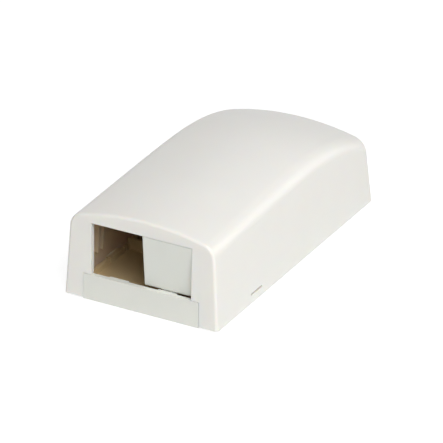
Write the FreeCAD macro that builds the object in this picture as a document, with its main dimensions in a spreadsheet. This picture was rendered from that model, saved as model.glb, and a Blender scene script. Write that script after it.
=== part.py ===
"""Two-port surface mount jack box: a crowned clip-on cover over a screw-down base.

Every sub-part is drawn about the box's own datum: X across, Y back from the foot of the
front face, Z up.  The placements then put the origin under the middle of the box.
"""
import FreeCAD, Part
import math
import os
import Sketcher
from FreeCAD import Placement, Rotation, Vector

DIMENSIONS = {
    # outer form of the cover
    "box_width": 49.3,
    "box_length": 95.3,
    "side_draft": 3.8,
    "front_lean": 2.7,
    "rear_lean": 6.5,
    "wall": 2.1,
    "front_shell": 1.7,
    "front_edge_round": 0.9,
    "rear_edge_round": 1.2,
    # window for two jack modules, and the notch that the base's front wall fills
    "port_width": 16.1,
    "port_foot": 7.75,
    "port_head": 23.25,
    "notch_half": 18.6,
    "notch_head": 7.55,
    "window_overlap": 0.5,
    # catches
    "catch_start": 19.8,
    "catch_length": 6.5,
    "catch_foot": 2.2,
    "catch_height": 0.7,
    # inside of the cover
    "skirt_wall": 1.75,
    "skirt_height": 6.0,
    "skirt_front_step": 0.4,
    "rib_first": 12.0,
    "rib_pitch": 2.6,
    "rib_thickness": 0.9,
    "rib_depth": 1.3,
    "rib_foot": 8.0,
    "rib_head": 21.5,
    # breakout scored in the rear wall
    "breakout_half": 10.5,
    "breakout_height": 12.0,
    "score_width": 0.6,
    "score_depth": 0.5,
    # base
    "base_drop": 0.3,
    "floor": 1.8,
    "rail_half": 21.9,
    "rail_thickness": 1.2,
    "rail_height": 3.5,
    "rail_start": 4.2,
    "base_rear": 92.6,
    "floor_start": 2.9,
    "seam_gap": 0.08,
    "front_wall": 1.3,
    "front_wall_head": 7.75,
    "tab_width": 6.0,
    "tab_offset": 7.75,
    "tab_start": 1.3,
    "tab_end": 2.2,
    "stop_place": 29.4,
    "stop_thickness": 1.2,
    "stop_height": 5.2,
    "slit_width": 0.8,
    "nose_gap": 0.15,
    "nose_reach": 2.0,
    "nose_lift": 0.1,
    "nose_land": 0.2,
    "nose_height": 0.75,
    "nose_root": 0.3,
    # fixings in the base
    "screw_first": 42.0,
    "screw_spacing": 40.0,
    "screw_hole": 4.5,
    "screw_sink": 1.9,
    "boss_width": 11.5,
    "boss_height": 3.2,
    "entry_half": 8.5,
    "entry_start": 52.0,
    "entry_length": 19.0,
    "entry_round": 2.0,
    "bridge_offset": 14.5,
    "bridge_first": 56.0,
    "bridge_pitch": 24.0,
    "bridge_width": 6.4,
    "bridge_length": 3.2,
    "bridge_height": 5.4,
    "bridge_slot_width": 3.4,
    "bridge_slot_height": 1.8,
    # blank in the right port
    "blank_width": 15.85,
    "blank_foot": 7.6,
    "blank_gap": 0.06,
    "blank_set_back": 0.12,
    "blank_lean": 3.8,
    "blank_depth": 10.5,
    "blank_wall": 1.3,
    "blank_edge_round": 0.3,
    "detent_half": 2.0,
    "detent_drop": 0.7,
    "detent_gap": 0.3,
    "detent_length": 1.0,
    # adhesive strips
    "strip_width": 9.0,
    "strip_length": 78.0,
    "strip_inset": 11.3,
    "strip_start": 8.0,
    "strip_side_gap": 0.3,
    "recess_depth": 0.6,
    "strip_thickness": 0.65,
    "liner_thickness": 0.15,
    # how far a cutting outline runs past what it cuts
    "overrun": 1.0,
    "outside": 10.0,
    "above": 40.0,
    "below": 2.0,
}

# crown line of the outer skin: name, place along the box, crown height, crown radius and
# shoulder radius
STATIONS = (
    ("lead", -4.0, 27.45, 84.0, 4.5),
    ("brow", 12.0, 28.2, 84.0, 4.7),
    ("rise", 30.0, 29.1, 83.0, 5.0),
    ("hump", 46.0, 29.75, 83.0, 5.2),
    ("summit", 58.0, 29.9, 83.0, 5.2),
    ("fall", 69.0, 29.3, 82.0, 5.1),
    ("slope", 79.0, 27.65, 82.0, 5.0),
    ("tail", 88.0, 25.15, 82.0, 4.9),
    ("end", 99.0, 20.8, 82.0, 4.8),
)

# how near an edge has to lie to a plane to be taken as on it
NEAR = 0.01


class Size:
    """A length or angle that knows both its value and the cell expression behind it."""

    def __init__(self, value, text):
        self.value = float(value)
        self.text = text

    @staticmethod
    def of(item):
        """The item as a Size, a plain number standing for itself."""
        return item if isinstance(item, Size) else Size(item, repr(float(item)))

    def join(self, other, sign, value):
        """The result of one sum, with its working written out."""
        return Size(value, "(%s %s %s)" % (self.text, sign, Size.of(other).text))

    def __add__(self, other):
        return self.join(other, "+", self.value + Size.of(other).value)

    def __sub__(self, other):
        return self.join(other, "-", self.value - Size.of(other).value)

    def __mul__(self, other):
        return self.join(other, "*", self.value * Size.of(other).value)

    def __truediv__(self, other):
        return self.join(other, "/", self.value / Size.of(other).value)

    def __neg__(self):
        return Size(-self.value, "(-%s)" % self.text)

    def tan(self):
        return Size(math.tan(math.radians(self.value)), "tan(%s * 1 deg)" % self.text)


def make_sheet(doc):
    """Put the driving dimensions in a sheet, one aliased cell each."""
    sheet = doc.addObject("Spreadsheet::Sheet", "Dimensions")
    rows = dict(DIMENSIONS)
    for name, place, height, crown, shoulder in STATIONS:
        rows[name + "_place"] = place
        rows[name + "_height"] = height
        rows[name + "_crown"] = crown
        rows[name + "_shoulder"] = shoulder
    for row, (name, value) in enumerate(rows.items(), start=1):
        sheet.set("A%d" % row, name)
        sheet.set("B%d" % row, str(value))
        sheet.setAlias("B%d" % row, name)
    doc.recompute()
    return {name: Size(value, "Dimensions." + name) for name, value in rows.items()}


def bind(item, path, size):
    """Tie one property of an object to the sheet."""
    item.setExpression(path, Size.of(size).text)


def new_body(doc, label):
    """An empty PartDesign body."""
    body = doc.addObject("PartDesign::Body", label)
    body.Label = label
    return body


def new_sketch(body, name, plane, shift=None, tilt=None):
    """A sketch on one of the body's origin planes, shifted along and tilted about its X axis."""
    sketch = body.newObject("Sketcher::SketchObject", name)
    support = [item for item in body.Origin.OriginFeatures if item.Role == plane][0]
    sketch.AttachmentSupport = [(support, "")]
    sketch.MapMode = "FlatFace"
    turn = Rotation(Vector(1, 0, 0), tilt.value if tilt is not None else 0)
    rise = shift.value if shift is not None else 0
    sketch.AttachmentOffset = Placement(Vector(0, 0, rise), turn)
    if shift is not None:
        bind(sketch, "AttachmentOffset.Base.z", shift)
    if tilt is not None:
        bind(sketch, "AttachmentOffset.Rotation.Angle", tilt)
    return sketch


def hold(sketch, kind, geometry, end, size):
    """Tie one end of a line, or a centre, to its distance from the sketch's origin."""
    size = Size.of(size)
    if abs(size.value) < 1e-9:
        axis = -2 if kind == "DistanceX" else -1
        sketch.addConstraint(Sketcher.Constraint("PointOnObject", geometry, end, axis))
        return
    if size.value > 0:
        index = sketch.addConstraint(Sketcher.Constraint(kind, -1, 1, geometry, end, size.value))
    else:
        size = -size
        index = sketch.addConstraint(Sketcher.Constraint(kind, geometry, end, -1, 1, size.value))
    bind(sketch, "Constraints[%d]" % index, size)


def add_polygon(sketch, points):
    """A closed outline of straight lines, each corner tied to its own two sizes."""
    corners = [(Size.of(x), Size.of(y)) for x, y in points]
    spots = [Vector(x.value, y.value, 0) for x, y in corners]
    first = sketch.GeometryCount
    count = len(spots)
    for i in range(count):
        sketch.addGeometry(Part.LineSegment(spots[i], spots[(i + 1) % count]), False)
    for i in range(count):
        after = first + (i + 1) % count
        sketch.addConstraint(Sketcher.Constraint("Coincident", first + i, 2, after, 1))
    for i, (x, y) in enumerate(corners):
        hold(sketch, "DistanceX", first + i, 1, x)
        hold(sketch, "DistanceY", first + i, 1, y)


def add_box_outline(sketch, left, right, low, high):
    """A rectangle between four sizes."""
    add_polygon(sketch, [(left, low), (right, low), (right, high), (left, high)])


def add_circle(sketch, x, y, diameter):
    """A circle tied to its centre and its diameter."""
    x, y, diameter = Size.of(x), Size.of(y), Size.of(diameter)
    circle = Part.Circle(Vector(x.value, y.value, 0), Vector(0, 0, 1), diameter.value / 2)
    index = sketch.addGeometry(circle, False)
    hold(sketch, "DistanceX", index, 3, x)
    hold(sketch, "DistanceY", index, 3, y)
    wide = sketch.addConstraint(Sketcher.Constraint("Diameter", index, diameter.value))
    bind(sketch, "Constraints[%d]" % wide, diameter)


def pad(body, name, sketch, length, backwards=False, both_ways=False):
    """Add material: the sketch carried along its own normal."""
    feature = body.newObject("PartDesign::Pad", name)
    feature.Profile = sketch
    feature.Length = Size.of(length).value
    bind(feature, "Length", length)
    feature.Reversed = backwards
    feature.SideType = "Symmetric" if both_ways else "One side"
    return feature


def pocket(body, name, sketch, length=None, backwards=False, both_ways=False):
    """A cut of a given length, or right through when no length is given."""
    feature = body.newObject("PartDesign::Pocket", name)
    feature.Profile = sketch
    if length is None:
        feature.Type = "ThroughAll"
    else:
        feature.Length = Size.of(length).value
        bind(feature, "Length", length)
    feature.Reversed = backwards
    feature.SideType = "Symmetric" if both_ways else "One side"
    return feature


def edge_names(feature, chosen):
    """Names of the edges of a feature's shape that the test picks."""
    edges = enumerate(feature.Shape.Edges, start=1)
    return ["Edge%d" % i for i, edge in edges if chosen(edge)]


def round_edges(body, name, radius, chosen):
    """Fillet the edges of the body's present shape that the test picks."""
    body.Document.recompute()
    base = body.Tip
    names = edge_names(base, chosen)
    feature = body.newObject("PartDesign::Fillet", name)
    feature.Base = (base, names)
    feature.Radius = radius.value
    bind(feature, "Radius", radius)


def crown_arch(half, slope, height, crown, shoulder):
    """Centres and tangent points of an arch: a draughted side, a shoulder and a crown."""
    stretch = math.hypot(1, slope)
    centre = height - crown
    reach = half - shoulder * stretch
    a = 1 + slope * slope
    b = -2 * slope * reach - 2 * centre
    c = reach * reach + centre * centre - (crown - shoulder) ** 2
    z = (-b + math.sqrt(b * b - 4 * a * c)) / (2 * a)
    x = reach - slope * z
    low = math.atan2(slope, 1)
    high = math.atan2(z - centre, x)
    return Vector(x, z, 0), Vector(0, centre, 0), low, high


def add_arch(sketch, half, draft, height, crown, shoulder):
    """One closed section of the cover: floor line, draughted sides, shoulders and crown."""
    slope = math.tan(math.radians(draft.value))
    centre, crown_centre, low, high = crown_arch(
        half.value, slope, height.value, crown.value, shoulder.value)
    mirrored = Vector(-centre.x, centre.y, 0)
    up = Vector(0, 0, 1)

    def on_arc(middle, radius, angle):
        return middle + Vector(math.cos(angle), math.sin(angle), 0) * radius

    right_foot = Vector(half.value, 0, 0)
    left_foot = Vector(-half.value, 0, 0)
    right_side = on_arc(centre, shoulder.value, low)
    left_side = on_arc(mirrored, shoulder.value, math.pi - low)
    round_right = Part.Circle(centre, up, shoulder.value)
    round_left = Part.Circle(mirrored, up, shoulder.value)
    round_top = Part.Circle(crown_centre, up, crown.value)
    outline = [
        Part.LineSegment(left_foot, right_foot),
        Part.LineSegment(right_foot, right_side),
        Part.ArcOfCircle(round_right, low, high),
        Part.ArcOfCircle(round_top, high, math.pi - high),
        Part.ArcOfCircle(round_left, math.pi - high, math.pi - low),
        Part.LineSegment(left_foot, left_side),
    ]
    for piece in outline:
        sketch.addGeometry(piece, False)
    ties = [
        ("Coincident", 0, 2, 1, 1), ("Coincident", 0, 1, 5, 1),
        ("Tangent", 1, 2, 2, 1), ("Tangent", 2, 2, 3, 1),
        ("Tangent", 3, 2, 4, 1), ("Tangent", 4, 2, 5, 2),
    ]
    for tie in ties:
        sketch.addConstraint(Sketcher.Constraint(*tie))
    hold(sketch, "DistanceX", 0, 1, -half)
    hold(sketch, "DistanceX", 0, 2, half)
    hold(sketch, "DistanceY", 0, 1, 0)
    hold(sketch, "DistanceY", 0, 2, 0)
    hold(sketch, "DistanceX", 3, 3, 0)
    hold(sketch, "DistanceY", 3, 3, height - crown)
    for line, angle, text in ((1, 90 + draft.value, "90 deg + %s * 1 deg"),
                              (5, 90 - draft.value, "90 deg - %s * 1 deg")):
        index = sketch.addConstraint(Sketcher.Constraint("Angle", line, math.radians(angle)))
        sketch.setExpression("Constraints[%d]" % index, text % draft.text)
    for arc, radius in ((2, shoulder), (4, shoulder), (3, crown)):
        index = sketch.addConstraint(Sketcher.Constraint("Radius", arc, radius.value))
        bind(sketch, "Constraints[%d]" % index, radius)


def crowned_form(doc, d, label, inset, front_inset, straight_runs):
    """The cover's outer form, or the hollow inside it when the inset is a wall's thickness.

    The skin is smooth from end to end, or runs straight from each station to the next.
    """
    body = new_body(doc, label)
    sections = []
    for name, *_ in STATIONS:
        sketch = new_sketch(body, "%s_%s" % (label, name), "XZ_Plane", shift=-d[name + "_place"])
        half = d["box_width"] / 2 - inset
        add_arch(sketch, half, d["side_draft"], d[name + "_height"] - inset,
                 d[name + "_crown"] - inset, d[name + "_shoulder"] - inset)
        sections.append(sketch)
    loft = body.newObject("PartDesign::AdditiveLoft", label + "_skin")
    loft.Profile = sections[0]
    loft.Sections = sections[1:]
    loft.Ruled = straight_runs
    top = d["above"]
    foot = -d["below"]
    front = d["front_lean"].tan()
    rear = d["rear_lean"].tan()
    ahead = -d["outside"]
    behind = d["box_length"] + d["outside"]
    lean = new_sketch(body, label + "_front_plane", "YZ_Plane")
    add_polygon(lean, [(ahead, foot), (foot * front + front_inset, foot),
                       (top * front + front_inset, top), (ahead, top)])
    pocket(body, label + "_front_cut", lean, both_ways=True)
    lean = new_sketch(body, label + "_rear_plane", "YZ_Plane")
    wall_end = d["box_length"] - inset
    add_polygon(lean, [(wall_end - foot * rear, foot), (behind, foot),
                       (behind, top), (wall_end - top * rear, top)])
    pocket(body, label + "_rear_cut", lean, both_ways=True)
    return body


def make_cover(doc, d):
    """One moulding: crowned shell, port window, base notch, catch windows and ribs."""
    body = crowned_form(doc, d, "cover", Size.of(0), Size.of(0), False)
    front_slope = d["front_lean"].tan().value
    rear_slope = d["rear_lean"].tan().value

    def above_foot(edge):
        return edge.CenterOfMass.z > NEAR

    def on_front(edge):
        gaps = [v.Y - v.Z * front_slope for v in edge.Vertexes]
        return above_foot(edge) and max(map(abs, gaps)) < NEAR

    def on_rear(edge):
        gaps = [v.Y + v.Z * rear_slope - d["box_length"].value for v in edge.Vertexes]
        return above_foot(edge) and max(map(abs, gaps)) < NEAR

    round_edges(body, "rear_rounding", d["rear_edge_round"], on_rear)
    round_edges(body, "front_rounding", d["front_edge_round"], on_front)

    core = crowned_form(doc, d, "hollow", d["wall"], d["front_shell"], True)
    hollow = body.newObject("PartDesign::Boolean", "hollow_cut")
    hollow.Type = "Cut"
    hollow.setObjects([core])

    window = new_sketch(body, "window_outline", "XZ_Plane")
    add_box_outline(window, -d["port_width"], d["port_width"],
                    d["notch_head"] - d["window_overlap"], d["port_head"])
    pocket(body, "window", window, d["wall"] * 3)
    notch = new_sketch(body, "notch_outline", "XZ_Plane")
    add_box_outline(notch, -d["notch_half"], d["notch_half"], -d["wall"], d["notch_head"])
    pocket(body, "notch", notch, d["wall"] * 2)
    catch = new_sketch(body, "catch_outline", "YZ_Plane")
    add_box_outline(catch, d["catch_start"], d["catch_start"] + d["catch_length"],
                    d["catch_foot"], d["catch_foot"] + d["catch_height"])
    pocket(body, "catch_windows", catch, both_ways=True)

    skirt = new_sketch(body, "skirt_outline", "XY_Plane")
    skirt_half = d["box_width"] / 2 - d["skirt_wall"]
    add_box_outline(skirt, -skirt_half, skirt_half,
                    d["wall"] + d["skirt_front_step"], d["box_length"] - d["wall"])
    pocket(body, "skirt", skirt, d["skirt_height"], backwards=True)
    add_guide_ribs(body, d)
    add_breakout(body, d)
    return body


def add_guide_ribs(body, d):
    """Two upright ribs on each side wall, which steady the outer faces of the jack modules."""
    outline = new_sketch(body, "rib_outline", "XZ_Plane", shift=-d["rib_first"])
    wall_foot = d["box_width"] / 2 - d["wall"] - d["rib_foot"] * d["side_draft"].tan()
    wall_head = d["box_width"] / 2 - d["wall"] - d["rib_head"] * d["side_draft"].tan()
    bite = d["wall"] / 3
    for side in (1, -1):
        add_polygon(outline, [
            ((wall_foot - d["rib_depth"]) * side, d["rib_foot"]),
            ((wall_foot + bite) * side, d["rib_foot"]),
            ((wall_head + bite) * side, d["rib_head"]),
            ((wall_head - d["rib_depth"]) * side, d["rib_head"]),
        ])
    rib = pad(body, "guide_rib", outline, d["rib_thickness"], backwards=True)
    repeat_along(body, "guide_ribs", rib, "Y_Axis", d["rib_pitch"], 2)


def add_breakout(body, d):
    """A scored panel at the foot of the rear wall, which snaps out for surface raceway."""
    outline = new_sketch(body, "breakout_outline", "XZ_Plane",
                         shift=-d["box_length"], tilt=d["rear_lean"])
    inner, outer = d["breakout_half"], d["breakout_half"] + d["score_width"]
    low, high = -d["wall"], d["breakout_height"]
    add_polygon(outline, [
        (-outer, low), (-inner, low), (-inner, high), (inner, high),
        (inner, low), (outer, low), (outer, high + d["score_width"]),
        (-outer, high + d["score_width"]),
    ])
    pocket(body, "breakout_score", outline, d["score_depth"], backwards=True)


def make_base(doc, d):
    """One moulding: floor, front wall, snap rails, fixings and cable entry."""
    body = new_body(doc, "base")
    head = d["front_wall_head"]
    lean = (head - d["base_drop"]) * d["front_lean"].tan()
    front = new_sketch(body, "front_wall_profile", "YZ_Plane")
    add_polygon(front, [(0, 0), (d["front_wall"], 0), (lean + d["front_wall"], head),
                        (lean, head), (0, d["base_drop"])])
    pad(body, "front_wall", front, (d["notch_half"] - d["seam_gap"]) * 2, both_ways=True)

    floor = new_sketch(body, "floor_outline", "XY_Plane")
    rail, neck = d["rail_half"], d["notch_half"] - d["seam_gap"]
    inside = d["front_wall"] / 2
    add_polygon(floor, [
        (-neck, inside), (neck, inside), (neck, d["floor_start"]), (rail, d["floor_start"]),
        (rail, d["base_rear"]), (-rail, d["base_rear"]), (-rail, d["floor_start"]),
        (-neck, d["floor_start"]),
    ])
    pad(body, "floor_plate", floor, d["floor"])

    rails = new_sketch(body, "rail_outline", "XY_Plane")
    inner = rail - d["rail_thickness"]
    rear = d["base_rear"] - d["rail_thickness"]
    add_polygon(rails, [
        (-rail, d["rail_start"]), (-inner, d["rail_start"]), (-inner, rear), (inner, rear),
        (inner, d["rail_start"]), (rail, d["rail_start"]), (rail, d["base_rear"]),
        (-rail, d["base_rear"]),
    ])
    pad(body, "rails", rails, d["rail_height"])
    add_snap_lugs(body, d)
    add_port_tabs(body, d)
    add_fixings(body, d)
    add_tie_bridges(body, d)

    recess = new_sketch(body, "strip_recess_outline", "XY_Plane")
    start, gap = d["strip_start"], d["strip_side_gap"]
    for side in (1, -1):
        add_box_outline(recess, (d["strip_inset"] - gap) * side,
                        (d["strip_inset"] + d["strip_width"] + gap) * side,
                        start - gap, start + d["strip_length"] + gap)
    pocket(body, "strip_recesses", recess, d["recess_depth"], backwards=True)
    return body


def add_snap_lugs(body, d):
    """A springy length of each side rail, freed by two slits, with a nose for the catch window."""
    start = d["catch_start"] + d["nose_gap"]
    end = d["catch_start"] + d["catch_length"] - d["nose_gap"]
    slits = new_sketch(body, "slit_outline", "YZ_Plane")
    for low in (start - d["slit_width"] * 2, end + d["slit_width"]):
        add_box_outline(slits, low, low + d["slit_width"], d["floor"], d["rail_height"] + d["overrun"])
    pocket(body, "slits", slits, both_ways=True)
    nose = new_sketch(body, "nose_profile", "XZ_Plane", shift=-start)
    rail = d["rail_half"]
    root, tip = rail - d["nose_root"], rail + d["nose_reach"]
    foot = d["catch_foot"] + d["base_drop"] + d["nose_lift"]
    head = foot + d["nose_height"]
    for side in (1, -1):
        add_polygon(nose, [
            (root * side, foot), (tip * side, foot), (tip * side, foot + d["nose_land"]),
            (rail * side, head), (root * side, head),
        ])
    pad(body, "noses", nose, d["catch_length"] - d["nose_gap"] * 2, backwards=True)


def add_port_tabs(body, d):
    """A tab behind the front wall in each port, and a low wall that the modules' heels meet."""
    tabs = new_sketch(body, "tab_outline", "XY_Plane")
    for side in (1, -1):
        middle = d["tab_offset"] * side
        add_box_outline(tabs, middle - d["tab_width"] / 2, middle + d["tab_width"] / 2,
                        d["tab_start"], d["tab_end"])
    pad(body, "port_tabs", tabs, d["front_wall_head"])
    stop = new_sketch(body, "stop_outline", "XY_Plane")
    edge = d["rail_half"] - d["rail_thickness"] / 2
    add_box_outline(stop, -edge, edge, d["stop_place"], d["stop_place"] + d["stop_thickness"])
    pad(body, "stop_wall", stop, d["stop_height"])


def add_fixings(body, d):
    """Two countersunk screw bosses on the centre line, with the cable entry between them."""
    places = (d["screw_first"], d["screw_first"] + d["screw_spacing"])
    bosses = new_sketch(body, "boss_outline", "XY_Plane")
    holes = new_sketch(body, "screw_hole_outline", "XY_Plane")
    for place in places:
        add_circle(bosses, 0, place, d["boss_width"])
        add_circle(holes, 0, place, d["screw_hole"])
    pad(body, "screw_bosses", bosses, d["boss_height"])
    pocket(body, "screw_holes", holes, both_ways=True)

    def on_boss_hole(edge):
        round_hole = abs(edge.Length - math.pi * d["screw_hole"].value) < NEAR
        return round_hole and abs(edge.CenterOfMass.z - d["boss_height"].value) < NEAR

    body.Document.recompute()
    base = body.Tip
    names = edge_names(base, on_boss_hole)
    sink = body.newObject("PartDesign::Chamfer", "screw_sinks")
    sink.Base = (base, names)
    sink.Size = d["screw_sink"].value
    bind(sink, "Size", d["screw_sink"])

    entry = new_sketch(body, "entry_outline", "XY_Plane")
    add_box_outline(entry, -d["entry_half"], d["entry_half"],
                    d["entry_start"], d["entry_start"] + d["entry_length"])
    pocket(body, "cable_entry", entry, both_ways=True)

    def on_entry_corner(edge):
        middle = edge.CenterOfMass
        upright = abs(edge.Length - d["floor"].value) < NEAR
        return upright and abs(abs(middle.x) - d["entry_half"].value) < NEAR

    round_edges(body, "entry_corners", d["entry_round"], on_entry_corner)


def add_tie_bridges(body, d):
    """Four small bridges on the floor, through which cable ties are threaded."""
    blocks = new_sketch(body, "bridge_outline", "XY_Plane")
    for side in (1, -1):
        middle = d["bridge_offset"] * side
        add_box_outline(blocks, middle - d["bridge_width"] / 2, middle + d["bridge_width"] / 2,
                        d["bridge_first"], d["bridge_first"] + d["bridge_length"])
    block = pad(body, "bridge_pair", blocks, d["bridge_height"])
    repeat_along(body, "bridge_pairs", block, "Y_Axis", d["bridge_pitch"], 2)
    slots = new_sketch(body, "bridge_slot_outline", "XZ_Plane", shift=d["overrun"] - d["bridge_first"])
    for side in (1, -1):
        middle = d["bridge_offset"] * side
        half = d["bridge_slot_width"] / 2
        add_box_outline(slots, middle - half, middle + half,
                        d["floor"], d["floor"] + d["bridge_slot_height"])
    slot = pocket(body, "bridge_slot_pair", slots, d["bridge_length"] + d["overrun"] * 2)
    repeat_along(body, "bridge_slot_pairs", slot, "Y_Axis", d["bridge_pitch"], 2)


def make_blank(doc, d):
    """A push-in blank that closes the right port: leaning face, open-backed box and detent."""
    body = new_body(doc, "port_blank")
    width = d["blank_width"]
    middle = d["port_width"] - d["blank_gap"] - width / 2
    low, high = d["blank_foot"], d["port_head"] - d["blank_gap"]
    face_head = high * d["front_lean"].tan() + d["blank_set_back"]

    def face(z):
        return face_head + (high - z) * d["blank_lean"].tan()

    profile = new_sketch(body, "blank_profile", "YZ_Plane", shift=middle)
    rear = d["blank_depth"]
    add_polygon(profile, [(face(low), low), (rear, low), (rear, high), (face(high), high)])
    pad(body, "blank_block", profile, width, both_ways=True)

    def on_face(edge):
        return all(abs(v.Y - face(Size.of(v.Z)).value) < NEAR for v in edge.Vertexes)

    round_edges(body, "blank_face_rounding", d["blank_edge_round"], on_face)
    inside = new_sketch(body, "blank_inside_profile", "YZ_Plane", shift=middle)
    wall = d["blank_wall"]
    floor, ceiling = low + wall, high - wall
    past = rear + d["overrun"]
    add_polygon(inside, [(face(floor) + wall, floor), (past, floor), (past, ceiling),
                         (face(ceiling) + wall, ceiling)])
    pocket(body, "blank_inside", inside, width - wall * 2, both_ways=True)
    detent = new_sketch(body, "detent_outline", "XY_Plane", shift=low - d["detent_drop"])
    start = d["tab_end"] + d["detent_gap"]
    middle = d["tab_offset"]
    add_box_outline(detent, middle - d["detent_half"], middle + d["detent_half"],
                    start, start + d["detent_length"])
    pad(body, "detent", detent, d["detent_drop"] + wall / 2)
    return body


def make_strip(doc, d, label, side, drop, thickness):
    """One flat strip under the base: foam tape, or the liner that covers it until it is used."""
    strip = doc.addObject("Part::Box", label)
    strip.Label = label
    bind(strip, "Length", d["strip_width"])
    bind(strip, "Width", d["strip_length"])
    bind(strip, "Height", thickness)
    left = d["strip_inset"] if side > 0 else -d["strip_inset"] - d["strip_width"]
    place(strip, d, left, d["strip_start"], drop)
    return strip


def place(part, d, x, y, z):
    """Set a sub-part down in the finished box, whose origin is under its middle."""
    shift = (Size.of(x), Size.of(y) - d["box_length"] / 2, Size.of(z))
    part.Placement = Placement(Vector(*[item.value for item in shift]), Rotation())
    for axis, item in zip("xyz", shift):
        bind(part, "Placement.Base." + axis, item)


def repeat_along(body, name, feature, axis, pitch, count):
    """Repeat a feature along one of the body's axes, the first one included."""
    body.Document.recompute()
    pattern = body.newObject("PartDesign::LinearPattern", name)
    pattern.Originals = [feature]
    line = [item for item in body.Origin.OriginFeatures if item.Role == axis][0]
    pattern.Direction = (line, [""])
    pattern.Occurrences = count
    pattern.Length = pitch.value * (count - 1)
    bind(pattern, "Length", pitch * (count - 1))
    body.Tip = pattern


def build():
    """Make every sub-part of the jack box, each in its place."""
    doc = FreeCAD.newDocument("SurfaceMountJackBox")
    d = make_sheet(doc)
    proud = d["strip_thickness"] + d["liner_thickness"] - d["recess_depth"]
    cover = make_cover(doc, d)
    place(cover, d, 0, 0, proud + d["base_drop"])
    base = make_base(doc, d)
    place(base, d, 0, 0, proud)
    blank = make_blank(doc, d)
    place(blank, d, 0, 0, proud + d["base_drop"])
    parts = [cover, base, blank]
    for word, side in (("left", -1), ("right", 1)):
        parts.append(make_strip(doc, d, "foam_strip_" + word, side,
                                d["liner_thickness"], d["strip_thickness"]))
        parts.append(make_strip(doc, d, "strip_liner_" + word, side, 0, d["liner_thickness"]))
    doc.recompute()
    return doc, parts


doc, parts = build()
for item in doc.Objects:
    if "Invalid" in item.State or "Error" in item.State:
        raise RuntimeError("%s did not compute: %s" % (item.Name, item.State))
os.makedirs("parts", exist_ok=True)
for part in parts:
    shape = part.Shape
    if shape.isNull() or not shape.isValid():
        raise RuntimeError("%s has no valid shape" % part.Label)
    shape.exportStep("parts/%s.step" % part.Label)
    print(part.Label, len(shape.Solids), round(shape.Volume, 1))
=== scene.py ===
"""Looks of a two-port surface mount jack box: moulded ABS shells, port blank and tape strips."""

import logging
import math
from dataclasses import dataclass
from enum import Enum

import bmesh
import bpy
import numpy as np
from mathutils import Matrix, Vector


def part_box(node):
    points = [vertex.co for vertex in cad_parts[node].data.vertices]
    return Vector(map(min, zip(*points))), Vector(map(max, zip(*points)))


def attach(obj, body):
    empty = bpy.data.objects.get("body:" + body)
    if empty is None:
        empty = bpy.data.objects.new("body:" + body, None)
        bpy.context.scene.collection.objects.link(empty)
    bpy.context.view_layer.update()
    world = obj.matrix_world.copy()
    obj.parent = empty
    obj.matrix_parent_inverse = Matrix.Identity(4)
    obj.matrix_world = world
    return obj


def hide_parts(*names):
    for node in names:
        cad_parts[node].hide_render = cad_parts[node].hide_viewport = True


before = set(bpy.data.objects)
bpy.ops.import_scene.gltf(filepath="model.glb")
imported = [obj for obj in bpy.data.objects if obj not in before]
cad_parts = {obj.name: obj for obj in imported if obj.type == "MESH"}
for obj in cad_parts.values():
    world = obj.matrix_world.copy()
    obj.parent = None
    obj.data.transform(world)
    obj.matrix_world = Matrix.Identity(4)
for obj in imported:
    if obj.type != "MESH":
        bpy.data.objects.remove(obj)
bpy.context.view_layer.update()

# metres in a millimetre
MM = 0.001
LOG = logging.getLogger("jack_box")


class Carving(Enum):
    """What a tool does to the body that it meets."""

    CUT = "DIFFERENCE"
    JOIN = "UNION"


class Face(Enum):
    """Which of a moulding's two finishes a face has."""

    OUTSIDE = 0
    INSIDE = 1


# ---------------------------------------------------------------- shapes


def tan_degrees(angle: float) -> float:
    """Tangent of an angle in degrees."""
    return math.tan(math.radians(angle))


def smooth_line(places: np.ndarray, values: np.ndarray, at: np.ndarray) -> np.ndarray:
    """Value at each place on the natural cubic spline through the given points.

    The second derivatives solve a three-band system that makes slope and curvature run on
    through each point, and are nil at both ends; between two points the line is the cubic
    with those second derivatives.

    Args:
        places: rising places of the known points.
        values: the known values.
        at: places, of any shape, to work the line out at.

    Returns:
        Values of the same shape as at.
    """
    count = len(places)
    gaps = np.diff(places)
    slopes = np.diff(values) / gaps
    bands = np.eye(count)
    right = np.zeros(count)
    for i in range(1, count - 1):
        bands[i, i - 1:i + 2] = gaps[i - 1], 2 * (gaps[i - 1] + gaps[i]), gaps[i]
        right[i] = 6 * (slopes[i] - slopes[i - 1])
    bend = np.linalg.solve(bands, right)
    i = np.clip(np.searchsorted(places, at) - 1, 0, count - 2)
    back, ahead = places[i + 1] - at, at - places[i]
    gap = gaps[i]
    cubic = (bend[i] * back ** 3 + bend[i + 1] * ahead ** 3) / (6 * gap)
    line = (values[i] / gap - bend[i] * gap / 6) * back
    return cubic + line + (values[i + 1] / gap - bend[i + 1] * gap / 6) * ahead


def quarter_round(radius: float, steps: int) -> tuple[np.ndarray, np.ndarray]:
    """Depths and insets of a quarter-circle edge.

    At angle a the depth is r (1 - cos a) and the inset r (1 - sin a), from the flat face at
    a = 0 to the wall at a = 90 degrees.

    Args:
        radius: radius of the round in millimetres.
        steps: number of steps along it.

    Returns:
        Depth below the flat face and inset from the wall, one value for each step and the start.
    """
    angle = np.linspace(0, math.pi / 2, steps + 1)
    return radius * (1 - np.cos(angle)), radius * (1 - np.sin(angle))


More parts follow.
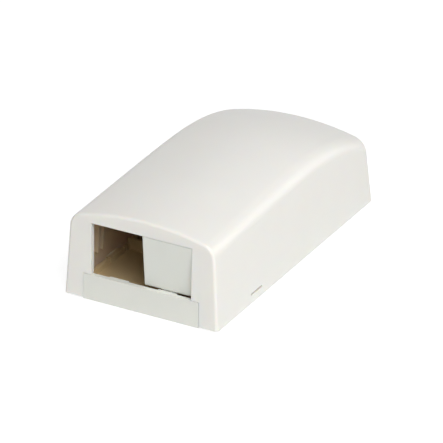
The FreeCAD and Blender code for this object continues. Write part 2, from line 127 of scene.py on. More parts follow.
def rounded_rectangle(left: float, right: float, low: float, high: float,
                      radius: float, steps: int = 5) -> np.ndarray:
    """Outline of a rectangle with rounded corners.

    Each corner is a quarter circle about a centre that lies one radius inside both edges.

    Args:
        left, right, low, high: the rectangle's sides in millimetres.
        radius: radius of its corners.
        steps: steps round each corner.

    Returns:
        Points of shape (4 * (steps + 1), 2), anticlockwise.
    """
    turn = np.linspace(0, math.pi / 2, steps + 1)
    centres = ((right - radius, high - radius), (left + radius, high - radius),
               (left + radius, low + radius), (right - radius, low + radius))
    corners = []
    for quarter, (x, z) in enumerate(centres):
        angle = turn + quarter * math.pi / 2
        corners.append(np.stack([x + radius * np.cos(angle), z + radius * np.sin(angle)], axis=1))
    return np.concatenate(corners)


def stacked_form(name: str, rows: np.ndarray) -> bpy.types.Object:
    """A closed form from a stack of closed outlines.

    Neighbouring outlines are joined by four-sided faces, and the first and last are closed by
    one flat face each.  The sign of the volume says which way the faces have to turn.

    Args:
        name: name of the new object.
        rows: points of shape (outlines, points, 3) in millimetres.

    Returns:
        The new object, in millimetres.
    """
    count, around = rows.shape[:2]
    index = np.arange(count * around).reshape(count, around)
    after = np.roll(index, -1, axis=1)
    walls = np.stack([index[:-1], after[:-1], after[1:], index[1:]], axis=-1).reshape(-1, 4)
    points = rows.reshape(-1, 3)
    middle = points.mean(axis=0)
    corner = points[walls] - middle
    volume = np.einsum("ij,ij->i", corner[:, 0], np.cross(corner[:, 1], corner[:, 2])).sum()
    faces = walls.tolist() + [index[0, ::-1].tolist(), index[-1].tolist()]
    if volume < 0:
        faces = [face[::-1] for face in faces]
    mesh = bpy.data.meshes.new(name)
    mesh.from_pydata(points.tolist(), [], faces)
    mesh.update()
    piece = bpy.data.objects.new(name, mesh)
    bpy.context.scene.collection.objects.link(piece)
    return piece


def prism(name: str, outline: np.ndarray, start: float, end: float,
          lean: float = 0.0) -> bpy.types.Object:
    """An upright outline across the box carried from one place along it to another.

    The point (x, z) of the outline goes to (x, y + lean z, z) at both ends.

    Args:
        name: name of the new object.
        outline: points of shape (n, 2), x and z in millimetres.
        start, end: places along the box at z = 0.
        lean: how far the ends lean back for each millimetre of height.

    Returns:
        The new object, in millimetres.
    """
    x, z = outline[:, 0], outline[:, 1]
    rows = [np.stack([x, place + lean * z, z], axis=1) for place in (start, end)]
    return stacked_form(name, np.stack(rows))


def carve(body: bpy.types.Object, tools: list[bpy.types.Object], how: Carving,
          face: Face) -> None:
    """Cut the tools from the body, or join them to it, and throw the tools away.

    Args:
        body: the object that is changed.
        tools: closed forms that meet it.
        how: whether they are cut away or joined.
        face: finish of the faces that the tools leave.
    """
    for tool in tools:
        for material in body.data.materials:
            tool.data.materials.append(material)
        finish = np.full(len(tool.data.polygons), face.value, np.int32)
        tool.data.polygons.foreach_set("material_index", finish)
        step = body.modifiers.new(how.name.lower(), "BOOLEAN")
        step.operation = how.value
        step.solver = "EXACT"
        step.object = tool
    bake_modifiers(body)
    for tool in tools:
        mesh = tool.data
        bpy.data.objects.remove(tool)
        bpy.data.meshes.remove(mesh)


def bake_modifiers(piece: bpy.types.Object) -> None:
    """Put the result of a piece's modifiers into its mesh.

    Args:
        piece: the object, whose mesh is replaced and whose modifiers are cleared.
    """
    result = piece.evaluated_get(bpy.context.evaluated_depsgraph_get())
    old = piece.data
    name = old.name
    mesh = bpy.data.meshes.new_from_object(result)
    piece.modifiers.clear()
    piece.data = mesh
    bpy.data.meshes.remove(old)
    mesh.name = name


def mend(mesh: bpy.types.Mesh, near: float = 0.002) -> None:
    """Merge points that carving left almost on each other, and drop faces with no area.

    Args:
        mesh: the mesh, in millimetres.
        near: distance in millimetres below which two points are one.
    """
    form = bmesh.new()
    form.from_mesh(mesh)
    bmesh.ops.remove_doubles(form, verts=form.verts, dist=near)
    bmesh.ops.dissolve_degenerate(form, dist=near, edges=form.edges)
    loose = [edge for edge in form.edges if not edge.link_faces]
    bmesh.ops.delete(form, geom=loose, context="EDGES")
    form.to_mesh(mesh)
    form.free()


def settle(piece: bpy.types.Object, datum: Vector, sharp: float) -> None:
    """Bring a piece from its drawing in millimetres to its place, and shade it.

    Args:
        piece: the object to finish.
        datum: where the drawing's origin lies, in metres.
        sharp: angle in degrees above which an edge stays sharp.
    """
    mesh = piece.data
    mend(mesh)
    mesh.transform(Matrix.Translation(datum) @ Matrix.Scale(MM, 4))
    mesh.shade_smooth()
    mesh.set_sharp_from_angle(angle=math.radians(sharp))
    weigh = piece.modifiers.new("flat faces stay flat", "WEIGHTED_NORMAL")
    weigh.keep_sharp = True


# ---------------------------------------------------------------- finishes


# a Mix node's two colour inputs and its colour output, which share their names with others
MIX_FIRST, MIX_SECOND, MIX_RESULT = 6, 7, 2


def linear(code: str) -> tuple[float, float, float, float]:
    """Linear colour for an sRGB code.

    A share c of full brightness becomes c / 12.92 up to 0.04045, and above that
    ((c + 0.055) / 1.055) to the power 2.4.

    Args:
        code: hex code such as #E6E4DC.

    Returns:
        Red, green, blue and full cover.
    """
    parts = [int(code[i:i + 2], 16) / 255 for i in (1, 3, 5)]
    red, green, blue = (c / 12.92 if c <= 0.04045 else ((c + 0.055) / 1.055) ** 2.4 for c in parts)
    return red, green, blue, 1.0


def add_node(tree: bpy.types.NodeTree, kind: str, settings: dict | None = None,
             **links: bpy.types.NodeSocket) -> bpy.types.Node:
    """Add one node, with its settings and the links into it.

    Args:
        tree: the node tree.
        kind: the node's type name.
        settings: properties of the node and values of its inputs, by name or index.
        links: source sockets by input name, with an underscore for a space, or by an
            underscore and the input's index.

    Returns:
        The new node.
    """
    node = tree.nodes.new(kind)
    for name, value in (settings or {}).items():
        if isinstance(name, str) and hasattr(node, name):
            setattr(node, name, value)
        else:
            node.inputs[name].default_value = value
    for name, source in links.items():
        key = int(name[1:]) if name[1:].isdigit() else name.replace("_", " ")
        tree.links.new(source, node.inputs[key])
    return node


def new_material(name: str) -> tuple[bpy.types.Material, bpy.types.NodeTree]:
    """An empty node material and its tree.

    Args:
        name: name of the new material.

    Returns:
        The material and its node tree.
    """
    material = bpy.data.materials.new(name)
    material.use_nodes = True
    material.node_tree.nodes.clear()
    return material, material.node_tree


@dataclass(frozen=True)
class MouldedAbs:
    """ABS from an injection mould: a hard, even skin over a slightly translucent white body.

    Sizes are in millimetres.  The shade colour, where there is one, is warm shade painted on the
    faces behind the shade's start along the box and between its low and high heights, and fades in
    over its edge.
    """

    name: str
    colour: str
    deep_colour: str
    roughness: float
    # how far the gloss swings either way
    gloss_swing: float = 0.15
    # waviness that hand polishing leaves in a mould
    ripple_size: float = 2.6
    ripple_height: float = 0.0012
    # a real grain is nearer 0.05 mm: it is drawn coarser, so that it shows at all
    grain_size: float = 0.35
    grain_height: float = 0.0003
    # patches in which the melt cooled alike
    cloud_size: float = 14.0
    # light that goes in and comes out again, furthest in red
    glow_weight: float = 0.12
    glow_depth: float = 0.9
    glow_reach: tuple[float, float, float] = (1.0, 0.6, 0.3)
    refraction: float = 1.52
    # warm shade painted on the faces that the cover shuts in: its colour, and where it starts,
    # stops and fades in
    painted_shade_colour: str = ""
    painted_shade_start: float = 0.0
    painted_shade_low: float = 0.0
    painted_shade_high: float = 0.0
    painted_shade_edge: float = 0.3

    def make(self) -> bpy.types.Material:
        """Build the material.

        A cloud of slow noise shifts the colour and the gloss a little, as melt flow does; a
        ripple and a finer grain stand in for the mould's polish.

        Returns:
            The material.
        """
        material, tree = new_material(self.name)
        place = add_node(tree, "ShaderNodeTexCoord").outputs["Object"]
        cloud = add_node(tree, "ShaderNodeTexNoise",
                         {"Scale": 1 / (self.cloud_size * MM), "Detail": 2.0}, Vector=place)
        tint = add_node(tree, "ShaderNodeMix",
                        {"data_type": "RGBA", MIX_FIRST: linear(self.colour),
                         MIX_SECOND: linear(self.deep_colour)},
                        Factor=cloud.outputs["Fac"])
        colour = tint.outputs[MIX_RESULT]
        if self.painted_shade_colour:
            colour = self.painted_shade_field(tree, place, colour)
        gloss = add_node(tree, "ShaderNodeMapRange",
                         {"To Min": self.roughness * (1 - self.gloss_swing),
                          "To Max": self.roughness * (1 + self.gloss_swing)},
                         Value=cloud.outputs["Fac"])
        ripple = add_node(tree, "ShaderNodeTexNoise",
                          {"Scale": 1 / (self.ripple_size * MM), "Detail": 1.0}, Vector=place)
        grain = add_node(tree, "ShaderNodeTexNoise",
                         {"Scale": 1 / (self.grain_size * MM), "Detail": 3.0}, Vector=place)
        waves = add_node(tree, "ShaderNodeBump",
                         {"Strength": 1.0, "Distance": self.ripple_height * MM},
                         Height=ripple.outputs["Fac"])
        skin = add_node(tree, "ShaderNodeBump",
                        {"Strength": 1.0, "Distance": self.grain_height * MM},
                        Height=grain.outputs["Fac"], Normal=waves.outputs["Normal"])
        shader = add_node(tree, "ShaderNodeBsdfPrincipled",
                          {"IOR": self.refraction, "Subsurface Weight": self.glow_weight,
                           "Subsurface Radius": self.glow_reach,
                           "Subsurface Scale": self.glow_depth * MM},
                          Base_Color=colour, Roughness=gloss.outputs["Result"],
                          Normal=skin.outputs["Normal"])
        add_node(tree, "ShaderNodeOutputMaterial", Surface=shader.outputs["BSDF"])
        return material

    def painted_shade_field(self, tree: bpy.types.NodeTree, place: bpy.types.NodeSocket,
                    colour: bpy.types.NodeSocket) -> bpy.types.NodeSocket:
        """Warm shade painted on the faces that the cover shuts in: behind the front wall, above
        the floor.

        The painted shade's mask is the product of three ramps from 0 to 1, one along the box and
        two up it.

        Args:
            tree: the material's node tree.
            place: socket with the position on the piece.
            colour: socket with the colour elsewhere.

        Returns:
            Socket with the colour of the whole piece.
        """
        axes = add_node(tree, "ShaderNodeSeparateXYZ", None, Vector=place)
        ends = ((axes.outputs["Y"], self.painted_shade_start, self.painted_shade_start + self.painted_shade_edge),
                (axes.outputs["Z"], self.painted_shade_low, self.painted_shade_low + self.painted_shade_edge),
                (axes.outputs["Z"], self.painted_shade_high, self.painted_shade_high - self.painted_shade_edge))
        # the share built here is the mask of the painted shade
        share = None
        for axis, start, end in ends:
            step = add_node(tree, "ShaderNodeMapRange",
                            {"From Min": start * MM, "From Max": end * MM}, Value=axis)
            factor = step.outputs["Result"]
            if share is not None:
                both = add_node(tree, "ShaderNodeMath", {"operation": "MULTIPLY"},
                                _0=share, _1=factor)
                factor = both.outputs["Value"]
            share = factor
        mix = add_node(tree, "ShaderNodeMix",
                       {"data_type": "RGBA", MIX_SECOND: linear(self.painted_shade_colour)},
                       Factor=share)
        tree.links.new(colour, mix.inputs[MIX_FIRST])
        return mix.outputs[MIX_RESULT]


@dataclass(frozen=True)
class FoamTape:
    """Closed-cell foam, cut: matt white with small pores.  Sizes are in millimetres."""

    name: str = "closed_cell_foam_cut"
    colour: str = "#E4E2DA"
    # darker colour painted as shade in the middles of the pores
    pore_shade_colour: str = "#B9B6AB"
    # real pores are nearer 0.2 mm: they are drawn coarser, so that they show at all
    pore_size: float = 0.45
    pore_depth: float = 0.08
    roughness: float = 0.9

    def make(self) -> bpy.types.Material:
        """Build the material: rounded cells dent the surface at their middles, and shade is
        painted there in a darker colour.

        Returns:
            The material.
        """
        material, tree = new_material(self.name)
        place = add_node(tree, "ShaderNodeTexCoord").outputs["Object"]
        cells = add_node(tree, "ShaderNodeTexVoronoi", {"Scale": 1 / (self.pore_size * MM)},
                         Vector=place)
        tint = add_node(tree, "ShaderNodeMix",
                        {"data_type": "RGBA", MIX_FIRST: linear(self.pore_shade_colour),
                         MIX_SECOND: linear(self.colour)},
                        Factor=cells.outputs["Distance"])
        dent = add_node(tree, "ShaderNodeBump", {"Distance": self.pore_depth * MM},
                        Height=cells.outputs["Distance"])
        shader = add_node(tree, "ShaderNodeBsdfPrincipled", {"Roughness": self.roughness},
                          Base_Color=tint.outputs[MIX_RESULT], Normal=dent.outputs["Normal"])
        add_node(tree, "ShaderNodeOutputMaterial", Surface=shader.outputs["BSDF"])
        return material


@dataclass(frozen=True)
class ReleaseFilm:
    """Siliconised liner: smooth, pale and slightly wrinkled film.  Sizes are in millimetres."""

    name: str = "siliconised_release_film"
    colour: str = "#D9E0D6"
    wrinkle_size: float = 6.0
    wrinkle_height: float = 0.05
    smoothest: float = 0.28
    roughest: float = 0.42

    def make(self) -> bpy.types.Material:
        """Build the material: slow noise bends the reflections as faint wrinkles.

        Returns:
            The material.
        """
        material, tree = new_material(self.name)
        place = add_node(tree, "ShaderNodeTexCoord").outputs["Object"]
        noise = add_node(tree, "ShaderNodeTexNoise", {"Scale": 1 / (self.wrinkle_size * MM)},
                         Vector=place)
        gloss = add_node(tree, "ShaderNodeMapRange",
                         {"To Min": self.smoothest, "To Max": self.roughest},
                         Value=noise.outputs["Fac"])
        bend = add_node(tree, "ShaderNodeBump", {"Distance": self.wrinkle_height * MM},
                        Height=noise.outputs["Fac"])
        shader = add_node(tree, "ShaderNodeBsdfPrincipled", {"Base Color": linear(self.colour)},
                          Roughness=gloss.outputs["Result"], Normal=bend.outputs["Normal"])
        add_node(tree, "ShaderNodeOutputMaterial", Surface=shader.outputs["BSDF"])
        return material


# the outside of the mould is polished, so the cover has a broad, soft gleam along its ridges
COVER_ABS = MouldedAbs("abs_moulded_gloss_cover", "#E8E6E1", "#E5E3DE", 0.38,
                       glow_weight=0.3, glow_depth=3.0)
# the core side isn't polished, so it looks dull; its warm, darker colour is painted light and
# shade, standing for the warm light that comes through the walls and the shade in the shut box
INSIDE_ABS_PAINTED_SHADE = MouldedAbs("abs_moulded_unpolished_inside_painted_shade", "#E0CEB4", "#DAC7AB", 0.6,
                        glow_weight=0.3, glow_depth=3.0)
# the base looks a shade greener than the cover; where the cover shuts it in, warm shade is
# painted on it, as on the cover's inside
BASE_ABS = MouldedAbs("abs_moulded_satin_base", "#DFE0DA", "#DBDCD5", 0.34,
                      painted_shade_colour="#D6BF95", painted_shade_start=-45.4, painted_shade_low=1.2, painted_shade_high=7.8)
# the blank looks like the base's front wall, a touch glossier
BLANK_ABS = MouldedAbs("abs_moulded_satin_blank", "#DEE0DA", "#DADCD5", 0.32)


def dress(node: str, material: bpy.types.Material) -> None:
    """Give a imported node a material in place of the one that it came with.

    Args:
        node: the node's name.
        material: its new material.
    """
    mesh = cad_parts[node].data
    mesh.materials.clear()
    mesh.materials.append(material)
    LOG.info("%s: %s", node, material.name)


def seen_share(tree: bpy.types.NodeTree) -> bpy.types.NodeSocket:
    """Tell apart what is seen from what only lights.

    Args:
        tree: the node tree that asks.

    Returns:
        Socket that is 1 for what the eye, gloss and clear matter see, and 0 for the rest.
    """
    path = add_node(tree, "ShaderNodeLightPath")
    first = add_node(tree, "ShaderNodeMath", {"operation": "MAXIMUM"},
                     _0=path.outputs["Is Camera Ray"], _1=path.outputs["Is Glossy Ray"])
    seen = add_node(tree, "ShaderNodeMath", {"operation": "MAXIMUM"},
                    _0=first.outputs["Value"], _1=path.outputs["Is Transmission Ray"])
    return seen.outputs["Value"]


@dataclass(frozen=True)
class FloorPaper:
    """Matt white paper: it looks white where it is lit and keeps the soft shadow.

    It lights the box as plain paper of its colour, and shows itself by a glow of its own and
    a share of the light on it.  The ground under the box is plain paper to all.
    """

    name: str = "paper_matt_white"
    colour: str = "#F2F2F0"
    glow: float = 0.84
    shown: float = 0.3
    # half sizes in millimetres of the ground under the box
    covered: tuple[float, float] = (21.0, 44.0)

    def make(self) -> bpy.types.Material:
        """Build the material: one share chooses between the paper that lights and that shows.

        Returns:
            The material.
        """
        material, tree = new_material(self.name)
        plain = add_node(tree, "ShaderNodeBsdfDiffuse", {"Color": linear(self.colour)})
        soft = add_node(tree, "ShaderNodeBsdfDiffuse",
                        {"Color": (self.shown, self.shown, self.shown, 1.0)})
        glow = add_node(tree, "ShaderNodeEmission", {"Strength": self.glow})
        bright = add_node(tree, "ShaderNodeAddShader", None, _0=soft.outputs["BSDF"],
                          _1=glow.outputs["Emission"])
        place = add_node(tree, "ShaderNodeTexCoord").outputs["Object"]
        axes = add_node(tree, "ShaderNodeSeparateXYZ", None, Vector=place)
        near = [add_node(tree, "ShaderNodeMath",
                         {"operation": "COMPARE", 1: 0.0, 2: reach * MM},
                         _0=axes.outputs[axis]).outputs["Value"]
                for axis, reach in zip("XY", self.covered)]
        under = add_node(tree, "ShaderNodeMath", {"operation": "MULTIPLY"},
                         _0=near[0], _1=near[1])
        clear = add_node(tree, "ShaderNodeMath", {"operation": "SUBTRACT", 0: 1.0},
                         _1=under.outputs["Value"])
        glowing = add_node(tree, "ShaderNodeMath", {"operation": "MULTIPLY"},
                           _0=seen_share(tree), _1=clear.outputs["Value"])
        either = add_node(tree, "ShaderNodeMixShader", None, _0=glowing.outputs["Value"],
                          _1=plain.outputs["BSDF"], _2=bright.outputs["Shader"])
        add_node(tree, "ShaderNodeOutputMaterial", Surface=either.outputs["Shader"])
        return material


# ---------------------------------------------------------------- sub-assemblies


@dataclass(frozen=True)
class Station:
    """One cross-section of the cover: its place, crown height and radii in millimetres."""

    place: float
    height: float
    crown: float
    shoulder: float


STATIONS = (
    Station(-4.0, 27.45, 84.0, 4.5),
    Station(12.0, 28.2, 84.0, 4.7),
    Station(30.0, 29.1, 83.0, 5.0),
    Station(46.0, 29.75, 83.0, 5.2),
    Station(58.0, 29.9, 83.0, 5.2),
    Station(69.0, 29.3, 82.0, 5.1),
    Station(79.0, 27.65, 82.0, 5.0),
    Station(88.0, 25.15, 82.0, 4.9),
    Station(99.0, 20.8, 82.0, 4.8),
)


@dataclass
class Cover:
    """The crowned cover, one moulding, drawn in millimetres from the foot of its front face."""

    # outer form
    width: float = 49.3
    length: float = 95.3
    side_draft: float = 3.8
    front_lean: float = 2.7
    rear_lean: float = 6.5
    wall: float = 2.1
    front_shell: float = 1.7
    front_round: float = 0.9
    rear_round: float = 1.2
    inner_round: float = 0.5
    # window for two jack modules, and the notch that the base's front wall fills
    window_half: float = 16.1
    window_head: float = 23.25
    window_corner: float = 0.2
    window_lip: float = 0.05
    window_overlap: float = 0.5
    notch_half: float = 18.6
    notch_head: float = 7.55
    notch_lip: float = 0.04
    # catch windows in the sides
    catch_start: float = 19.8
    catch_length: float = 6.5
    catch_foot: float = 2.2
    catch_height: float = 0.7
    # inside
    skirt_wall: float = 1.75
    skirt_height: float = 6.0
    skirt_step: float = 0.4
    rib_places: tuple[float, float] = (12.0, 14.6)
    rib_thickness: float = 0.9
    rib_depth: float = 1.3
    rib_foot: float = 8.0
    rib_head: float = 21.5
    # breakout scored in the rear wall
    breakout_half: float = 10.5
    breakout_height: float = 12.0
    score_width: float = 0.6
    score_depth: float = 0.5
    # how far a tool runs past what it cuts, and the radius of a tool's corners
    overrun: float = 1.0
    tool_corner: float = 0.1
    # how finely the surfaces are drawn
    side_steps: int = 14
    shoulder_steps: int = 14
    crown_steps: int = 22
    body_rows: int = 110
    round_rows: int = 6
    lip_rows: int = 4
    # rounds in which heights and places of a row agree to far less than a micrometre
    agree_rounds: int = 6
    # angle in degrees above which an edge stays sharp
    sharp_angle: float = 32.0

    def section(self, y: np.ndarray, inset: np.ndarray, foot: float) -> np.ndarray:
        """Cross-sections of the outer form, or of an even inset from it.

        The side is a straight line that leans in by its draft, the shoulder an arc tangent to
        it, and the crown an arc tangent to the shoulder whose centre is on the middle plane.
        The shoulder's centre lies its radius inside the side line and crown radius less
        shoulder radius from the crown's centre, which is a quadratic equation in its height.

        Args:
            y: place of every point along the box, shape (rows, columns).
            inset: distance inside the outer form for each row, shape (rows, 1).
            foot: height at which the side lines start.

        Returns:
            x and z of every point, shape (rows, columns, 2), from right foot to left foot.
        """
        known = {key: np.array([getattr(s, key) for s in STATIONS])
                 for key in ("place", "height", "crown", "shoulder")}
        height, crown, shoulder = (smooth_line(known["place"], known[key], y) - inset
                                   for key in ("height", "crown", "shoulder"))
        slope = tan_degrees(self.side_draft)
        middle = height - crown
        reach = self.width / 2 - inset - shoulder * math.hypot(1, slope)
        a = 1 + slope ** 2
        b = -2 * slope * reach - 2 * middle
        c = reach ** 2 + middle ** 2 - (crown - shoulder) ** 2
        z = (-b + np.sqrt(b ** 2 - 4 * a * c)) / (2 * a)
        x = reach - slope * z
        low = math.atan(slope)
        high = np.arctan2(z - middle, x)

        columns = self.columns()
        share = columns["share"]
        on_side = np.stack([
            (1 - share) * (self.width / 2 - inset - slope * foot)
            + share * (x + shoulder * math.cos(low)),
            (1 - share) * foot + share * (z + shoulder * math.sin(low))], axis=-1)
        turn = low + (high - low) * share
        on_shoulder = np.stack([x + shoulder * np.cos(turn), z + shoulder * np.sin(turn)], axis=-1)
        turn = high + (math.pi / 2 - high) * share
        on_crown = np.stack([crown * np.cos(turn), middle + crown * np.sin(turn)], axis=-1)
        zone = columns["zone"][:, None]
        points = np.where(zone == 0, on_side, np.where(zone == 1, on_shoulder, on_crown))
        points[..., 0] *= columns["hand"]
        return points

    def columns(self) -> dict[str, np.ndarray]:
        """Which stretch of the outline each column is on, and how far along it.

        Returns:
            One value for each column under three names: zone is 0 on the side, 1 on the
            shoulder and 2 on the crown, share the part of the way along the zone, and hand 1
            on the right and -1 on the left.
        """
        stretches = (self.side_steps, self.shoulder_steps, self.crown_steps)
        zone = np.concatenate([np.full(n, i) for i, n in enumerate(stretches)] + [[2]])
        share = np.concatenate([np.arange(n) / n for n in stretches] + [[1.0]])
        hand = np.ones(len(zone))
        return {"zone": np.concatenate([zone, zone[-2::-1]]),
                "share": np.concatenate([share, share[-2::-1]]),
                "hand": np.concatenate([hand, -hand[1:]])}

    def skin(self, name: str, wall: float, front_wall: float, front_round: float,
             rear_round: float, foot: float) -> bpy.types.Object:
        """The closed form between two leaning end planes, a wall's thickness inside the box.

        Rows of cross-sections run from the front plane, through its rounded edge, along the
        body and through the rear edge.  A row's place depends on a point's height, because the
        planes lean, and its height on its place, so the two are worked out in turn until they
        agree.

        Args:
            name: name of the new object.
            wall: distance inside the outer form.
            front_wall: the same distance at the front.
            front_round, rear_round: radii of the edges at both ends.
            foot: height at which the sides start.

        Returns:
            The new object, in millimetres.
        """
        front_depth, front_inset = quarter_round(front_round, self.round_rows)
        rear_depth, rear_inset = quarter_round(rear_round, self.round_rows)
        share = np.linspace(0, 1, self.body_rows + 1)[1:-1]
        zeros = np.zeros_like(share)
        weight = np.concatenate([np.zeros_like(front_depth), share, np.ones_like(rear_depth)])
        shift = np.concatenate([front_depth, front_round * (1 - share) - rear_round * share,
                                -rear_depth[::-1]])
        inset = np.concatenate([front_inset, zeros, rear_inset[::-1]]) + wall
        weight, shift, inset = weight[:, None], shift[:, None], inset[:, None]
        # any height between the foot and the crown will do to begin with
        z = np.full((len(weight), len(self.columns()["share"])), self.width / 4)
        for _ in range(self.agree_rounds):
            front = z * tan_degrees(self.front_lean) + front_wall
            rear = self.length - wall - z * tan_degrees(self.rear_lean)
            y = front * (1 - weight) + rear * weight + shift
            outline = self.section(y, inset, foot)
            z = outline[..., 1]
        return stacked_form(name, np.stack([outline[..., 0], y, z], axis=-1))

    def mouth(self, name: str, half: float, low: float, high: float, corner: float,
              lip: float, depth: float) -> bpy.types.Object:
        """A tool for an opening in the front wall with a rounded lip.

        Rounded rectangles are stacked along the depth; across the lip each is wider than the
        opening by what a quarter circle leaves.

        Args:
            name: name of the new object.
            half, low, high: half width, foot and head of the opening.
            corner: radius of its corners.
            lip: radius of the round where it meets the front face.
            depth: how far it reaches behind the front face.

        Returns:
            The new object, in millimetres.
        """
        lip_depth, lip_spread = quarter_round(lip, self.lip_rows)
        depths = np.concatenate([[-self.overrun], lip_depth, [depth]])
        spreads = np.concatenate([[lip], lip_spread, [0.0]])
        rows = []
        for place, spread in zip(depths, spreads):
            outline = rounded_rectangle(-half - spread, half + spread, low - spread,
                                        high + spread, corner + spread)
            x, z = outline[:, 0], outline[:, 1]
            rows.append(np.stack([x, place + z * tan_degrees(self.front_lean), z], axis=1))
        return stacked_form(name, np.stack(rows))

    def hollows(self) -> list[bpy.types.Object]:
        """Tools for the hollow and for the thinner skirt at its foot.

        Returns:
            Closed forms in millimetres.
        """
        core = self.skin("hollow", self.wall, self.front_shell, self.inner_round,
                         self.inner_round, -self.overrun)
        half = self.width / 2 - self.skirt_wall
        outline = rounded_rectangle(-half, half, -self.overrun, self.skirt_height,
                                    self.tool_corner)
        skirt = prism("skirt", outline, self.wall + self.skirt_step, self.length - self.wall)
        return [core, skirt]

    def openings(self) -> list[bpy.types.Object]:
        """Tools for the window, the base's notch, the catch windows and the breakout's score.

        The window's tool goes well past the front wall, the notch's also past the skirt's
        step, and the catches' from outside one wall to outside the other.

        Returns:
            Closed forms in millimetres.
        """
        window_depth, notch_depth = self.wall * 3, self.wall * 2
        window = self.mouth("window", self.window_half, self.notch_head - self.window_overlap,
                            self.window_head, self.window_corner, self.window_lip, window_depth)
        notch = self.mouth("notch", self.notch_half, -self.wall, self.notch_head,
                           self.notch_lip, self.notch_lip, notch_depth)
        slot = rounded_rectangle(-self.width, self.width, self.catch_foot,
                                 self.catch_foot + self.catch_height, self.tool_corner)
        catch = prism("catches", slot, self.catch_start, self.catch_start + self.catch_length)
        return [window, notch, catch, self.score()]

    def score(self) -> bpy.types.Object:
        """A tool for the score round the breakout in the rear wall.

        Returns:
            A closed form in millimetres, a groove's width round three sides of the breakout.
        """
        inner, outer = self.breakout_half, self.breakout_half + self.score_width
        low, high = -self.wall, self.breakout_height
        top = high + self.score_width
        outline = np.array([(-outer, low), (-inner, low), (-inner, high), (inner, high),
                            (inner, low), (outer, low), (outer, top), (-outer, top)])
        return prism("breakout_score", outline, self.length - self.score_depth,
                     self.length + self.overrun, -tan_degrees(self.rear_lean))

    def ribs(self) -> list[bpy.types.Object]:
        """Two guide ribs on each side wall, which taper with its draft.

        A rib's outer edge bites into the wall, so that the two join cleanly.

        Returns:
            Closed forms in millimetres.
        """
        slope = tan_degrees(self.side_draft)
        bite = self.wall / 3
        forms = []
        for hand in (1, -1):
            foot, head = (self.width / 2 - self.wall - z * slope
                          for z in (self.rib_foot, self.rib_head))
            outline = np.array([((foot - self.rib_depth) * hand, self.rib_foot),
                                ((foot + bite) * hand, self.rib_foot),
                                ((head + bite) * hand, self.rib_head),
                                ((head - self.rib_depth) * hand, self.rib_head)])
            for place in self.rib_places:
                forms.append(prism("rib", outline, place, place + self.rib_thickness))
        return forms

    def build(self, outside: bpy.types.Material, inside: bpy.types.Material) -> bpy.types.Object:
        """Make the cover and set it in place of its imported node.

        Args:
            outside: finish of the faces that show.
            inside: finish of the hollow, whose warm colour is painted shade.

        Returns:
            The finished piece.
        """
        piece = self.skin("cover_shell", 0.0, 0.0, self.front_round, self.rear_round, 0.0)
        piece.data.materials.append(outside)
        piece.data.materials.append(inside)
        carve(piece, self.hollows(), Carving.CUT, Face.INSIDE)
        carve(piece, self.openings(), Carving.CUT, Face.OUTSIDE)
        carve(piece, self.ribs(), Carving.JOIN, Face.INSIDE)
        low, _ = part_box("cover")
        settle(piece, Vector((0.0, low.y, low.z)), self.sharp_angle)
        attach(piece, "cover")
        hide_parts("cover")
        return piece


# ---------------------------------------------------------------- studio


class Share(Enum):
    """What a lamp adds to a surface."""

    BOTH = "light and gloss"
    LIGHT = "light alone"
    GLOSS = "gloss alone"


@dataclass(frozen=True)
class Softbox:
    """A soft rectangular lamp: where its middle is, its size in metres and its power in watts.

    Its share says whether it lights surfaces, shows in them as gloss, or does both.
    """

    name: str
    place: tuple[float, float, float]
    size: tuple[float, float]
    power: float
    share: Share = Share.BOTH


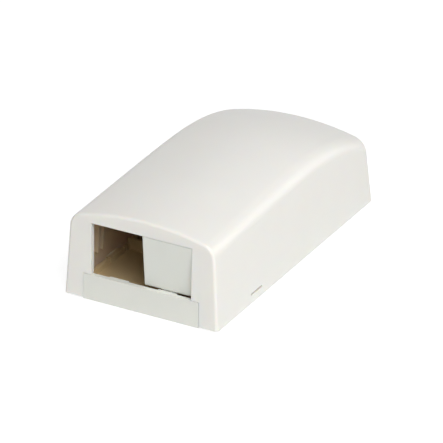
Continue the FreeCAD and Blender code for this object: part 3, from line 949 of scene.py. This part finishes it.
@dataclass
class Studio:
    """A white floor, soft lamps and the camera.

    Lengths are in metres, apart from floor_drop, lens and film, which are in millimetres, and
    angles are in degrees.
    """

    lamps: tuple[Softbox, ...] = (
        Softbox("key_softbox", (0.58, -0.50, 0.80), (0.7, 0.7), 11.3),
        Softbox("ridge_softbox", (0.62, 0.80, 0.20), (0.45, 0.7), 2.2, Share.GLOSS),
        Softbox("rear_softbox", (-0.10, 0.82, 0.72), (0.7, 0.3), 0.8, Share.GLOSS),
        Softbox("back_softbox", (-0.50, 0.85, 0.06), (0.6, 0.3), 0.8, Share.LIGHT),
    )
    floor_reach: float = 4.0
    # the floor lies a hair below the box's foot, so that the two faces don't flicker
    floor_drop: float = 0.05
    # strength of the even light from all round
    fill: float = 0.24
    # the camera looks at the target, less the offset to its right and upwards
    azimuth: float = 29.014
    elevation: float = 26.442
    roll: float = 0.046
    distance: float = 0.92267
    lens: float = 260.0
    film: float = 36.0
    nearest: float = 0.01
    target: tuple[float, float, float] = (0.0, -0.00065, 0.0125)
    offset: tuple[float, float] = (0.00013, 0.003816)

    def camera(self) -> bpy.types.Object:
        """The camera: a long lens that looks down on the right front corner.

        Returns:
            The camera's object.
        """
        turn, rise = math.radians(self.azimuth), math.radians(self.elevation)
        ahead = Vector((-math.sin(turn) * math.cos(rise), math.cos(turn) * math.cos(rise),
                        -math.sin(rise)))
        flat = Vector((math.cos(turn), math.sin(turn), 0.0))
        lift = flat.cross(ahead)
        place = Vector(self.target) - self.offset[0] * flat - self.offset[1] * lift
        place -= self.distance * ahead
        tilt = math.radians(self.roll)
        right = flat * math.cos(tilt) + lift * math.sin(tilt)
        upward = lift * math.cos(tilt) - flat * math.sin(tilt)
        data = bpy.data.cameras.new("camera")
        data.lens = self.lens
        data.sensor_width = self.film
        data.clip_start = self.nearest
        camera = bpy.data.objects.new("camera", data)
        axes = Matrix((right, upward, -ahead)).transposed()
        camera.matrix_world = Matrix.Translation(place) @ axes.to_4x4()
        bpy.context.scene.collection.objects.link(camera)
        bpy.context.scene.camera = camera
        return camera

    def floor(self) -> bpy.types.Object:
        """The floor: one square of paper.

        Returns:
            The floor's object.
        """
        half = self.floor_reach / 2
        level = -self.floor_drop * MM
        corners = [(-half, -half, level), (half, -half, level), (half, half, level),
                   (-half, half, level)]
        mesh = bpy.data.meshes.new("floor")
        mesh.from_pydata(corners, [], [(0, 1, 2, 3)])
        mesh.materials.append(FloorPaper().make())
        floor = bpy.data.objects.new("floor", mesh)
        bpy.context.scene.collection.objects.link(floor)
        return floor

    def sky(self) -> None:
        """Even fill light, which the eye and the gloss see as white paper."""
        world = bpy.data.worlds.new("studio")
        world.use_nodes = True
        tree = world.node_tree
        tree.nodes.clear()
        strength = add_node(tree, "ShaderNodeMapRange", {"To Min": self.fill, "To Max": 1.0},
                            Value=seen_share(tree))
        back = add_node(tree, "ShaderNodeBackground", {"Color": (1.0, 1.0, 1.0, 1.0)},
                        Strength=strength.outputs["Result"])
        add_node(tree, "ShaderNodeOutputWorld", Surface=back.outputs["Background"])
        bpy.context.scene.world = world

    def hang(self, softbox: Softbox) -> None:
        """Hang one lamp so that it points at the box.

        Args:
            softbox: the lamp.
        """
        data = bpy.data.lights.new(softbox.name, "AREA")
        data.shape = "RECTANGLE"
        data.size, data.size_y = softbox.size
        data.energy = softbox.power
        lamp = bpy.data.objects.new(softbox.name, data)
        lamp.location = softbox.place
        way = Vector(self.target) - Vector(softbox.place)
        lamp.rotation_euler = way.to_track_quat("-Z", "Y").to_euler()
        lamp.visible_diffuse = softbox.share is not Share.GLOSS
        lamp.visible_glossy = softbox.share is not Share.LIGHT
        bpy.context.scene.collection.objects.link(lamp)

    def build(self) -> None:
        """Set up floor, sky, lamps and camera."""
        self.floor()
        self.sky()
        for softbox in self.lamps:
            self.hang(softbox)
        self.camera()
        bpy.context.scene.view_settings.view_transform = "Standard"


def main() -> None:
    """Dress the box and set up the studio."""
    logging.basicConfig(level=logging.INFO, format="%(name)s: %(message)s")
    cover = Cover().build(COVER_ABS.make(), INSIDE_ABS_PAINTED_SHADE.make())
    LOG.info("%s: %d faces", cover.name, len(cover.data.polygons))
    dress("base", BASE_ABS.make())
    dress("port_blank", BLANK_ABS.make())
    foam, film = FoamTape().make(), ReleaseFilm().make()
    for side in ("left", "right"):
        dress("foam_strip_" + side, foam)
        dress("strip_liner_" + side, film)
    Studio().build()


if __name__ == "__main__":
    main()
